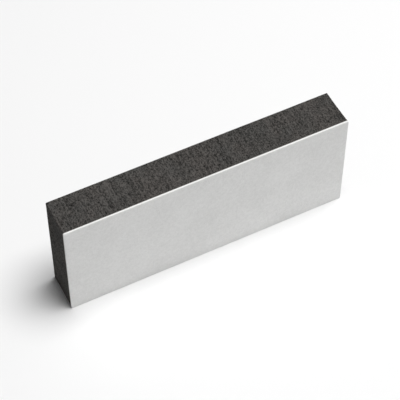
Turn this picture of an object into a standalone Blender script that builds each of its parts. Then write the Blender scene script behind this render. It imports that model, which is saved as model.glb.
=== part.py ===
"""Chalkboard eraser: a die-cut foam block with a wiping cloth bonded to one of its wide faces.

Metres, +Z up. The eraser stands on a long narrow edge, as a row of them stands on a ledge. X runs along it, Y
through its layers and Z up its wide faces. The cloth faces -Y, and the bare foam back, which the fingers hold,
faces +Y. The origin is in the middle of the footprint.
"""

import bmesh
import bpy
from mathutils import Matrix

# Sizes that can each be set alone.
LENGTH = 0.150             # along X
HEIGHT = 0.060             # along Z, across the wiping face
FOAM_SHEET = 0.020         # thickness of the foam sheet the block is cut from
CLOTH_THICKNESS = 0.0008   # napped cloth
FILM_THICKNESS = 0.0002    # adhesive film between the cloth and the foam
CORNER_RADIUS = 0.0006     # the four corners of the die-cut outline
BACK_EDGE_RADIUS = 0.0004  # soft edge all round the bare back of the foam
CONTACT_GAP = 0.0003       # clearance between layers that touch

# The layers stack from the cloth's face at the front to the foam's back. The block gives up the two
# clearances, so the stack keeps the thickness that the bonded eraser has.
THICKNESS = FOAM_SHEET + FILM_THICKNESS + CLOTH_THICKNESS
FOAM_DEPTH = FOAM_SHEET - 2 * CONTACT_GAP
CLOTH_FRONT = -THICKNESS / 2
FILM_FRONT = CLOTH_FRONT + CLOTH_THICKNESS + CONTACT_GAP
FOAM_FRONT = FILM_FRONT + FILM_THICKNESS + CONTACT_GAP

CORNER_SEGMENTS = 6
BACK_EDGE_SEGMENTS = 4
SHARP_ANGLE = 0.6          # radians; a wider turn between two faces is shaded as an edge
ON_PLANE = 1e-6            # how near a vertex lies to a plane to count as on it

# name: base colour (linear), roughness
FOAM_FINISH = ("charcoal_foam", (0.063, 0.061, 0.056), 0.9)
FILM_FINISH = ("clear_adhesive", (0.45, 0.43, 0.38), 0.45)
CLOTH_FINISH = ("white_cloth", (0.80, 0.80, 0.79), 0.95)


def clear_scene():
    for item in list(bpy.data.objects):
        bpy.data.objects.remove(item, do_unlink=True)


def make_material(name, colour, roughness):
    material = bpy.data.materials.new(name)
    material.use_nodes = True
    shader = material.node_tree.nodes["Principled BSDF"]
    shader.inputs["Base Color"].default_value = (*colour, 1.0)
    shader.inputs["Roughness"].default_value = roughness
    shader.inputs["Metallic"].default_value = 0.0
    return material


def bevel_edges(mesh, edges, radius, segments):
    bmesh.ops.bevel(
        mesh,
        geom=edges,
        affect="EDGES",
        offset_type="OFFSET",
        offset=radius,
        segments=segments,
        profile=0.5,
        material=-1,
        clamp_overlap=False,
    )


def cut_layer(front, depth):
    """A slab with the eraser's die-cut outline, standing on Z = 0, from Y = front to front + depth."""
    mesh = bmesh.new()
    bmesh.ops.create_cube(mesh, size=1.0)
    bmesh.ops.transform(mesh, matrix=Matrix.Diagonal((LENGTH, depth, HEIGHT, 1.0)), verts=mesh.verts)
    bmesh.ops.translate(mesh, vec=(0.0, front + depth / 2, HEIGHT / 2), verts=mesh.verts)
    through_edges = [
        edge for edge in mesh.edges if abs(edge.verts[0].co.y - edge.verts[1].co.y) > depth / 2
    ]
    bevel_edges(mesh, through_edges, CORNER_RADIUS, CORNER_SEGMENTS)
    return mesh


def round_back_edge(mesh, back):
    """Softens the outline at Y = back."""
    rim = [
        edge for edge in mesh.edges
        if all(abs(vertex.co.y - back) < ON_PLANE for vertex in edge.verts)
    ]
    bevel_edges(mesh, rim, BACK_EDGE_RADIUS, BACK_EDGE_SEGMENTS)


def add_layer(name, mesh, finish, eraser):
    data = bpy.data.meshes.new(name)
    mesh.to_mesh(data)
    mesh.free()
    data.materials.append(make_material(*finish))
    layer = bpy.data.objects.new(name, data)
    bpy.context.scene.collection.objects.link(layer)
    layer.parent = eraser
    return layer


def build_foam_block(eraser):
    mesh = cut_layer(FOAM_FRONT, FOAM_DEPTH)
    round_back_edge(mesh, FOAM_FRONT + FOAM_DEPTH)
    block = add_layer("foam_block", mesh, FOAM_FINISH, eraser)
    block.data.shade_smooth()
    block.data.set_sharp_from_angle(angle=SHARP_ANGLE)


def build_adhesive_film(eraser):
    add_layer("adhesive_film", cut_layer(FILM_FRONT, FILM_THICKNESS), FILM_FINISH, eraser)


def build_wiping_cloth(eraser):
    add_layer("wiping_cloth", cut_layer(CLOTH_FRONT, CLOTH_THICKNESS), CLOTH_FINISH, eraser)


def main():
    clear_scene()
    eraser = bpy.data.objects.new("eraser", None)
    bpy.context.scene.collection.objects.link(eraser)
    build_foam_block(eraser)
    build_adhesive_film(eraser)
    build_wiping_cloth(eraser)


main()
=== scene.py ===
import math
import random

import bmesh
import bpy
from mathutils import Matrix, Vector, noise
from mathutils.kdtree import KDTree


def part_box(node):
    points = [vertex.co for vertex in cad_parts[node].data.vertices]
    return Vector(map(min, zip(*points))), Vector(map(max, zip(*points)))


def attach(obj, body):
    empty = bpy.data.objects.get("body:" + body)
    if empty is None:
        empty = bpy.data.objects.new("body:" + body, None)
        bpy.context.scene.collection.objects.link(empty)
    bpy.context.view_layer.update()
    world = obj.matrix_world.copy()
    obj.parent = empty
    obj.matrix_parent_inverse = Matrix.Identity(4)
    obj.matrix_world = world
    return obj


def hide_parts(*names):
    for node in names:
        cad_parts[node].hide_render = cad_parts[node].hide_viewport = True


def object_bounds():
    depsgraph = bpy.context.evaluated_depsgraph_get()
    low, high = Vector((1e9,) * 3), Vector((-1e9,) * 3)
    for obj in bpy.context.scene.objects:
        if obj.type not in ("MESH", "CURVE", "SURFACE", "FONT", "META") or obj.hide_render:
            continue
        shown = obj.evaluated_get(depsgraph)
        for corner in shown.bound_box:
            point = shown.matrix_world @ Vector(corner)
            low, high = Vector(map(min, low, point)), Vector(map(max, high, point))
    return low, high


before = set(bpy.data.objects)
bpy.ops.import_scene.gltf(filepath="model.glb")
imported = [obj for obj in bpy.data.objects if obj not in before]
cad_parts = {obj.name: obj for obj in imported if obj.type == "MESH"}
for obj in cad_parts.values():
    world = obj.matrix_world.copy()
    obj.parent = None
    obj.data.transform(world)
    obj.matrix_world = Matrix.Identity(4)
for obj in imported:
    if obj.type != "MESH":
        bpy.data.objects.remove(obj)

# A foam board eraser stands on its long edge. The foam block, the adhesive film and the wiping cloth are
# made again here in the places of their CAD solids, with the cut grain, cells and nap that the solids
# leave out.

MM = 0.001

cad_low, cad_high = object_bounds()
cloth_low, cloth_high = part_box("wiping_cloth")
film_low, film_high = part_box("adhesive_film")
foam_low, foam_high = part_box("foam_block")

# The layers touch here, so the clearances of the CAD solids are closed: the cloth keeps its place, the
# film lies on it, and the foam reaches the film.
LENGTH = foam_high.x - foam_low.x
HEIGHT = foam_high.z - foam_low.z
CLOTH_FRONT = cloth_low.y
CLOTH_BACK = cloth_high.y
FILM_BACK = CLOTH_BACK + film_high.y - film_low.y
FOAM_BACK = foam_high.y

CORNER_RADIUS = 0.6 * MM       # the four corners of the die-cut outline
BACK_EDGE_RADIUS = 0.4 * MM    # all round the foam's bare back
CLOTH_EDGE_RADIUS = 0.15 * MM  # all round the cloth's face
CORNER_SEGMENTS = 5
EDGE_SEGMENTS = 3
FOAM_GRID = 0.43 * MM          # spacing of the points that carry the relief
CLOTH_GRID = 0.5 * MM
ON_PLANE = 1e-7                # how near a point lies to a plane to count as on it
PARALLEL = 0.999               # share of an edge's length along an axis that it counts as running along
FACES_DOWN = -0.9              # a normal's Z, or lower, on the edge that the eraser stands on

# Relief, pressed inwards: how deep it goes, and about how wide its swells are.
FOAM_WAVE = (0.10 * MM, 24 * MM)
FOAM_GRAIN = (0.04 * MM, 1.3 * MM)
FOAM_FINE_GRAIN = (0.03 * MM, 0.8 * MM)
KNIFE_DRAG = (0.05 * MM, 1.1 * MM)
CLOTH_WAVE = (0.06 * MM, 18 * MM)
CLOTH_TUFT = (0.05 * MM, 1.5 * MM)
CUT_DISH = 0.08 * MM           # how hollow the knife leaves a cut edge
BOND_FADE = 0.8 * MM           # the foam's relief dies out over this distance to the film
HEM_FADE = 0.4 * MM            # and the cloth's over this distance to its back
STANDING_SHARE = 0.6           # of the relief that is left on the edge that the eraser stands on
SKIN_TOP = 0.3 * MM            # below the back's face, where the foam's skin begins to give way
SKIN_END = 0.9 * MM            # and where it is all cut foam

PORE_SEED = 7
SMALLEST_PORE = 0.42 * MM      # radii
LARGEST_PORE = 1.1 * MM
LARGEST_SKIN_PORE = 0.7 * MM
PORE_RARITY = 6                # the higher, the fewer pores are large
PORE_DEPTH = (0.5, 0.9)        # least and most, as shares of the radius
PORE_MARGIN = 1.5 * MM         # no pore is centred nearer than this to an edge

# Colours, linear.
FOAM_DARK = (0.020, 0.0196, 0.0185, 1.0)
FOAM_PALE = (0.089, 0.0865, 0.0825, 1.0)
FOAM_PALE_WARM = (0.101, 0.093, 0.087, 1.0)
# Painted shade: near-black for the middles of open cells, standing for the shade inside them.
PAINTED_CELL_SHADE = (0.010, 0.010, 0.009, 1.0)
# Painted shade: near-black for the pores, standing for the shade inside them.
PAINTED_PORE_SHADE = (0.007, 0.007, 0.006, 1.0)
NAP_SHADE = (0.73, 0.73, 0.72, 1.0)
NAP_LIGHT = (0.88, 0.88, 0.87, 1.0)
ADHESIVE_DARK = (0.20, 0.19, 0.17, 1.0)
ADHESIVE_PALE = (0.38, 0.36, 0.32, 1.0)
FLOOR_WHITE = (0.90, 0.90, 0.90, 1.0)
LAMP_WHITE = (1.0, 1.0, 1.0, 1.0)

CAMERA_PLACE = (-0.214, -0.421, 0.642)
CAMERA_LENS = 143.0            # mm, with a sensor 36 mm wide
FLOOR_REACH = 20.0             # from its middle to each side
WALL_LIGHT = 0.95              # strength of the studio's bright walls
CEILING_LIGHT = 0.05
WALL_TOP = (0.13, 0.17)        # sine of the elevation where the walls begin to dim, and where they end


# ---------------------------------------------------------------- camera, floor and light

def aim(thing, place, target):
    thing.location = place
    thing.rotation_mode = "QUATERNION"
    thing.rotation_quaternion = (Vector(target) - Vector(place)).to_track_quat("-Z", "Y")


def make_camera():
    data = bpy.data.cameras.new("camera")
    data.lens = CAMERA_LENS
    data.sensor_width = 36.0
    data.clip_start = 0.01
    data.clip_end = 50.0
    camera = bpy.data.objects.new("camera", data)
    bpy.context.scene.collection.objects.link(camera)
    aim(camera, CAMERA_PLACE, (cad_low + cad_high) / 2)
    bpy.context.scene.camera = camera


def make_floor():
    mesh = bmesh.new()
    bmesh.ops.create_grid(mesh, x_segments=1, y_segments=1, size=FLOOR_REACH)
    data = bpy.data.meshes.new("floor")
    mesh.to_mesh(data)
    mesh.free()
    floor = bpy.data.objects.new("floor", data)
    bpy.context.scene.collection.objects.link(floor)
    finish = Finish("studio_floor")
    finish.constant("Base Color", FLOOR_WHITE)
    finish.constant("Roughness", 0.9)
    finish.constant("Specular IOR Level", 0.1)
    data.materials.append(finish.material)


def make_softbox(name, place, size, power):
    """A round area light that faces the origin."""
    data = bpy.data.lights.new(name, "AREA")
    data.shape = "DISK"
    data.size = size
    data.energy = power
    softbox = bpy.data.objects.new(name, data)
    bpy.context.scene.collection.objects.link(softbox)
    aim(softbox, place, (0.0, 0.0, 0.0))


def light_studio():
    """Low bright walls all round, a dim ceiling and one large softbox overhead."""
    scene = bpy.context.scene
    scene.view_settings.view_transform = "Standard"
    world = bpy.data.worlds.new("studio")
    scene.world = world
    world.use_nodes = True
    backdrop = Graph(world.node_tree, "Background")
    direction = backdrop.node("ShaderNodeTexCoord", output="Generated")
    height = backdrop.node("ShaderNodeSeparateXYZ", inputs={"Vector": direction}, output="Z")
    is_ceiling = backdrop.ramp(height, *WALL_TOP)
    backdrop.drive("Strength", WALL_LIGHT - is_ceiling * (WALL_LIGHT - CEILING_LIGHT))
    backdrop.constant("Color", LAMP_WHITE)
    make_softbox("overhead", (0.35, -0.10, 1.6), size=1.0, power=30.0)


# ---------------------------------------------------------------- finishes

class Field:
    """A node's output, used in a formula: each operator adds one Math node."""

    def __init__(self, graph, socket):
        self.graph = graph
        self.socket = socket

    def math(self, operation, *values):
        return self.graph.node("ShaderNodeMath", {"operation": operation}, dict(enumerate(values)))

    def __add__(self, other):
        return self.math("ADD", self, other)

    def __sub__(self, other):
        return self.math("SUBTRACT", self, other)

    def __rsub__(self, other):
        return self.math("SUBTRACT", other, self)

    def __mul__(self, other):
        return self.math("MULTIPLY", self, other)

    __radd__ = __add__
    __rmul__ = __mul__


class Graph:
    """Nodes that lead to one shader node of a tree."""

    MIX_A, MIX_B, MIX_COLOUR = 6, 7, 2     # a colour Mix node's sockets

    def __init__(self, tree, shader):
        self.tree = tree
        self.shader = tree.nodes[shader]

    def constant(self, socket, value):
        self.shader.inputs[socket].default_value = value

    def drive(self, socket, field):
        self.tree.links.new(field.socket, self.shader.inputs[socket])

    def node(self, kind, settings=None, inputs=None, output=0):
        """Adds a node, with its settings before the values or links of its sockets."""
        made = self.tree.nodes.new(kind)
        for name, value in (settings or {}).items():
            setattr(made, name, value)
        for socket, value in (inputs or {}).items():
            if isinstance(value, Field):
                self.tree.links.new(value.socket, made.inputs[socket])
            else:
                made.inputs[socket].default_value = value
        return Field(self, made.outputs[output])

    def ramp(self, field, low, high):
        """0 below low, 1 above high and smooth between them."""
        return self.node(
            "ShaderNodeMapRange",
            {"interpolation_type": "SMOOTHSTEP"},
            {"Value": field, "From Min": low, "From Max": high},
        )

    def blend(self, factor, first, second):
        """The first colour where the factor is 0, and the second where it is 1."""
        return self.node(
            "ShaderNodeMix",
            {"data_type": "RGBA"},
            {"Factor": factor, self.MIX_A: first, self.MIX_B: second},
            self.MIX_COLOUR,
        )


class Finish(Graph):
    """A Principled material in the making."""

    def __init__(self, name):
        self.material = bpy.data.materials.new(name)
        self.material.use_nodes = True
        super().__init__(self.material.node_tree, "Principled BSDF")

    def place(self, squeeze=(1.0, 1.0, 1.0)):
        """Object coordinates; a squeeze below 1 draws a pattern out along that axis."""
        coordinates = self.node("ShaderNodeTexCoord", output="Object")
        return self.node("ShaderNodeMapping", inputs={"Vector": coordinates, "Scale": squeeze})

    def grain(self, place, size, detail=1.0, roughness=0.5):
        """Noise from 0 to 1 whose patches are about size metres across."""
        return self.node(
            "ShaderNodeTexNoise",
            inputs={"Vector": place, "Scale": 1.0 / size, "Detail": detail, "Roughness": roughness},
        )

    def cells(self, place, size):
        """Distance from the middle of each foam cell, 0 to about 1."""
        return self.node("ShaderNodeTexVoronoi", inputs={"Vector": place, "Scale": 1.0 / size})

    def bump(self, height, distance, under=None):
        """A normal for relief of this distance, on top of another bump's."""
        inputs = {"Height": height, "Strength": 1.0, "Distance": distance}
        if under is not None:
            inputs["Normal"] = under
        return self.node("ShaderNodeBump", inputs=inputs)


def charcoal_foam():
    """Foam with open cells and the knife's drag lines on its cut edges, and a skin on its back; the
    cells' middles and the pores get painted shade, and the skin is drawn paler, partly its own tone and
    partly painted light.
    """
    finish = Finish("charcoal_foam")
    place = finish.place()
    drawn = finish.place((1.0, 0.55, 1.0))
    dragged = finish.place((1.0, 0.05, 1.0))
    depth = finish.node("ShaderNodeSeparateXYZ", inputs={"Vector": place}, output="Y")
    is_skin = finish.ramp(depth, FOAM_BACK - SKIN_END, FOAM_BACK - SKIN_TOP)
    is_cut = 1.0 - is_skin

    cloud = finish.grain(place, 30 * MM, detail=3.0, roughness=0.55)
    warm_cloud = finish.grain(place, 17 * MM, detail=3.0, roughness=0.6)
    mottle = finish.grain(place, 3.0 * MM, detail=3.0, roughness=0.6)
    speckle = finish.grain(drawn, 0.5 * MM)
    streak = finish.grain(dragged, 0.9 * MM)
    pebble = finish.grain(place, 0.9 * MM)
    cell = finish.cells(drawn, 0.8 * MM)
    # Painted shade: this mask picks the middles of the foam's cells, to be painted darker as the shade
    # inside open cells.
    cell_shade_mask = 1.0 - finish.ramp(cell, 0.15, 0.50)
    # How deep a point lies in a pore: the mask of the shade painted into the pores.
    pore_shade = finish.node("ShaderNodeAttribute", {"attribute_name": "pore_shade"}, output="Fac")

    broad = (cloud - 0.5) * 0.30 + (mottle - 0.5) * 0.08
    fine = (speckle - 0.5) * 1.8 + (streak - 0.5) * is_cut * 0.75 + (pebble - 0.5) * is_skin * 0.8
    # Painted light in part: is_skin * 0.20 draws the back's skin paler than the cut foam, partly the
    # skin's own tone and partly light painted onto the back face, which the overhead softbox lights
    # less.
    tone = broad + fine + is_skin * 0.20 + 0.57
    pale = finish.blend(finish.ramp(warm_cloud, 0.35, 0.65), FOAM_PALE, FOAM_PALE_WARM)
    foam = finish.blend(finish.ramp(tone, 0.0, 1.0), FOAM_DARK, pale)
    # Painted shade: the middles of the open cells are darkened, more on the cut faces.
    cell_shaded_foam = finish.blend(cell_shade_mask * (is_cut * 0.30 + 0.25), foam, PAINTED_CELL_SHADE)
    # Painted shade: the pores are darkened by how deep a point lies in one.
    finish.drive("Base Color", finish.blend(pore_shade * 0.8, cell_shaded_foam, PAINTED_PORE_SHADE))
    finish.drive("Roughness", (mottle - 0.5) * 0.15 + (0.84 + is_cut * 0.08))
    finish.constant("Specular IOR Level", 0.03)

    grainy = finish.bump(speckle + streak * is_cut, 0.14 * MM)
    finish.drive("Normal", finish.bump(cell, 0.12 * MM, grainy))
    return finish.material


def white_napped_cloth():
    """Short nap of crossed fibres in low tufts, with a little sheen."""
    finish = Finish("white_napped_cloth")
    place = finish.place()
    fibre_x = finish.grain(finish.place((0.3, 1.0, 1.0)), 0.45 * MM, detail=2.0, roughness=0.6)
    fibre_z = finish.grain(finish.place((1.0, 1.0, 0.3)), 0.5 * MM, detail=2.0, roughness=0.6)
    tuft = finish.grain(place, 1.6 * MM, detail=3.0, roughness=0.6)
    lie = finish.grain(place, 22 * MM, detail=2.0)

    fibres = (fibre_x - 0.5) * 0.5 + (fibre_z - 0.5) * 0.5
    nap = fibres + (tuft - 0.5) * 0.6 + (lie - 0.5) * 0.5 + 0.5
    finish.drive("Base Color", finish.blend(finish.ramp(nap, 0.05, 0.95), NAP_SHADE, NAP_LIGHT))
    finish.constant("Roughness", 0.95)
    finish.constant("Specular IOR Level", 0.15)
    finish.constant("Sheen Weight", 0.25)
    finish.constant("Sheen Roughness", 0.6)

    felt = finish.bump(fibre_x + fibre_z, 0.06 * MM)
    finish.drive("Normal", finish.bump(tuft, 0.18 * MM, felt))
    return finish.material


def adhesive():
    """Smeared, slightly glossy film."""
    finish = Finish("adhesive")
    smear = finish.grain(finish.place(), 2.0 * MM, detail=3.0, roughness=0.6)
    finish.drive("Base Color", finish.blend(smear, ADHESIVE_DARK, ADHESIVE_PALE))
    finish.drive("Roughness", smear * 0.3 + 0.3)
    finish.drive("Normal", finish.bump(smear, 0.1 * MM))
    return finish.material


# ---------------------------------------------------------------- layers

def bevel_edges(mesh, edges, radius, segments):
    bmesh.ops.bevel(
        mesh,
        geom=edges,
        affect="EDGES",
        offset_type="OFFSET",
        offset=radius,
        segments=segments,
        profile=0.5,
        material=-1,
        clamp_overlap=False,
    )


def lies_at(part, y):
    """Whether an edge or a face lies in the plane Y = y."""
    return all(abs(vertex.co.y - y) < ON_PLANE for vertex in part.verts)


def soften_rim(mesh, y, radius):
    bevel_edges(mesh, [edge for edge in mesh.edges if lies_at(edge, y)], radius, EDGE_SEGMENTS)


def die_cut_slab(front, back):
    """A slab with the eraser's outline and rounded corners, from Y = front to back."""
    depth = back - front
    middle = ((foam_low.x + foam_high.x) / 2, (front + back) / 2, (foam_low.z + foam_high.z) / 2)
    mesh = bmesh.new()
    bmesh.ops.create_cube(mesh, size=1.0)
    bmesh.ops.transform(mesh, matrix=Matrix.Diagonal((LENGTH, depth, HEIGHT, 1.0)), verts=mesh.verts)
    bmesh.ops.translate(mesh, vec=middle, verts=mesh.verts)
    through = [
        edge for edge in mesh.edges if abs(edge.verts[0].co.y - edge.verts[1].co.y) > depth / 2
    ]
    bevel_edges(mesh, through, CORNER_RADIUS, CORNER_SEGMENTS)
    return mesh


def subdivide_along(mesh, axis, spacing):
    """Cuts the long edges that run along one axis into steps of about spacing."""
    def runs_along(edge):
        step = edge.verts[1].co - edge.verts[0].co
        return abs(step[axis]) > PARALLEL * step.length and step.length > 2 * spacing

    edges = [edge for edge in mesh.edges if runs_along(edge)]
    if edges:
        length = max(edge.calc_length() for edge in edges)
        cuts = round(length / spacing) - 1
        bmesh.ops.subdivide_edges(mesh, edges=edges, cuts=cuts, use_grid_fill=True)


def add_surface_points(mesh, spacing, hidden_side):
    """Cuts a slab into a grid, apart from the side at Y = hidden_side, which stays one flat face."""
    for axis in range(3):
        subdivide_along(mesh, axis, spacing)
    hidden = [face for face in mesh.faces if lies_at(face, hidden_side)]
    bmesh.ops.dissolve_faces(mesh, faces=hidden, use_verts=False)
    mesh.normal_update()


def smoothstep(x):
    x = min(max(x, 0.0), 1.0)
    return x * x * (3.0 - 2.0 * x)


def relief(place, depth, size, shift=Vector()):
    """How far to press the surface in at a place: 0 to depth, in swells about size across."""
    return depth * (0.5 + 0.5 * noise.noise(place / size + shift))


def finish_piece(name, mesh, material, node, smooth_angle):
    """Makes the mesh an object with this material that stands for a CAD node, fixes it to the root body
    and hides the node.
    """
    bmesh.ops.recalc_face_normals(mesh, faces=mesh.faces)
    data = bpy.data.meshes.new(name)
    mesh.to_mesh(data)
    mesh.free()
    data.materials.append(material)
    data.shade_smooth()
    data.set_sharp_from_angle(angle=smooth_angle)
    piece = bpy.data.objects.new(name, data)
    bpy.context.scene.collection.objects.link(piece)
    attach(piece, "root")
    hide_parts(node)
    return piece


# ---------------------------------------------------------------- foam block

def roughen_foam(mesh):
    """Presses in the dish and the drag lines that the knife leaves, slow waves and the cells' grain."""
    middle = (FILM_BACK + FOAM_BACK) / 2
    half = (FOAM_BACK - FILM_BACK) / 2
    fine_shift = Vector((9.1, 3.3, 5.7))     # keeps the two grains from lining up
    for vertex in mesh.verts:
        place, normal = vertex.co.copy(), vertex.normal
        drawn = Vector((place.x, place.y * 0.4, place.z))
        dragged = Vector((place.x, place.y * 0.1, place.z))
        is_cut = 1.0 - abs(normal.y)
        off_centre = (place.y - middle) / half
        dish = CUT_DISH * is_cut * max(0.0, 1.0 - off_centre * off_centre)
        wave = relief(place, *FOAM_WAVE)
        grain = relief(drawn, *FOAM_GRAIN) + relief(place, *FOAM_FINE_GRAIN, fine_shift)
        drag = relief(dragged, *KNIFE_DRAG) * is_cut
        share = STANDING_SHARE if normal.z < FACES_DOWN else 1.0
        fade = smoothstep((place.y - FILM_BACK) / BOND_FADE)
        vertex.co = place - normal * (dish + wave + grain + drag) * fade * share


def pore_places(draw):
    """Scatters places over the foam's bare faces, each with the largest radius that a pore has there."""
    low = Vector((foam_low.x, FILM_BACK, foam_low.z))
    high = Vector((foam_high.x, FOAM_BACK, foam_high.z))
    # the axis that a face lies across, its place on it, the number of pores and their largest radius
    for axis, level, count, largest in (
        (2, high.z, 420, LARGEST_PORE),
        (2, low.z, 420, LARGEST_PORE),
        (0, low.x, 160, LARGEST_PORE),
        (0, high.x, 160, LARGEST_PORE),
        (1, high.y, 150, LARGEST_SKIN_PORE),
    ):
        for _ in range(count):
            place = Vector([
                draw.uniform(start + PORE_MARGIN, end - PORE_MARGIN) for start, end in zip(low, high)
            ])
            place[axis] = level
            yield place, largest


def add_pores(mesh, pore_shade):
    """Presses open pores into the foam and marks how deep each point lies in one, as the mask of the
    shade painted into the pores.
    """
    draw = random.Random(PORE_SEED)
    tree = KDTree(len(mesh.verts))
    for vertex in mesh.verts:
        tree.insert(vertex.co, vertex.index)
    tree.balance()
    for place, largest in pore_places(draw):
        radius = SMALLEST_PORE + (largest - SMALLEST_PORE) * draw.random() ** PORE_RARITY
        depth = radius * draw.uniform(*PORE_DEPTH)
        for _, index, distance in tree.find_range(place, radius):
            vertex = mesh.verts[index]
            sunk = 1.0 - smoothstep(distance / radius)
            vertex.co -= vertex.normal * depth * sunk
            vertex[pore_shade] = max(vertex[pore_shade], sunk)


def make_foam_block():
    mesh = die_cut_slab(FILM_BACK, FOAM_BACK)
    soften_rim(mesh, FOAM_BACK, BACK_EDGE_RADIUS)
    add_surface_points(mesh, FOAM_GRID, hidden_side=FILM_BACK)
    # How deep a point lies in a pore, kept for the painted pore shade.
    pore_shade = mesh.verts.layers.float.new("pore_shade")
    mesh.verts.ensure_lookup_table()
    roughen_foam(mesh)
    mesh.normal_update()
    add_pores(mesh, pore_shade)
    block = finish_piece("foam_body", mesh, charcoal_foam(), "foam_block", math.radians(50))


# ---------------------------------------------------------------- film and cloth

def make_bond_line():
    mesh = die_cut_slab(CLOTH_BACK, FILM_BACK)
    finish_piece("bond_line", mesh, adhesive(), "adhesive_film", math.radians(30))


def make_cloth():
    mesh = die_cut_slab(CLOTH_FRONT, CLOTH_BACK)
    soften_rim(mesh, CLOTH_FRONT, CLOTH_EDGE_RADIUS)
    add_surface_points(mesh, CLOTH_GRID, hidden_side=CLOTH_BACK)
    for vertex in mesh.verts:
        place = vertex.co.copy()
        depth = relief(place, *CLOTH_WAVE) + relief(place, *CLOTH_TUFT)
        fade = smoothstep((CLOTH_BACK - place.y) / HEM_FADE)
        vertex.co = place - vertex.normal * depth * fade
    cloth = finish_piece("cloth", mesh, white_napped_cloth(), "wiping_cloth", math.radians(50))


make_camera()
make_floor()
light_studio()
make_foam_block()
make_bond_line()
make_cloth()
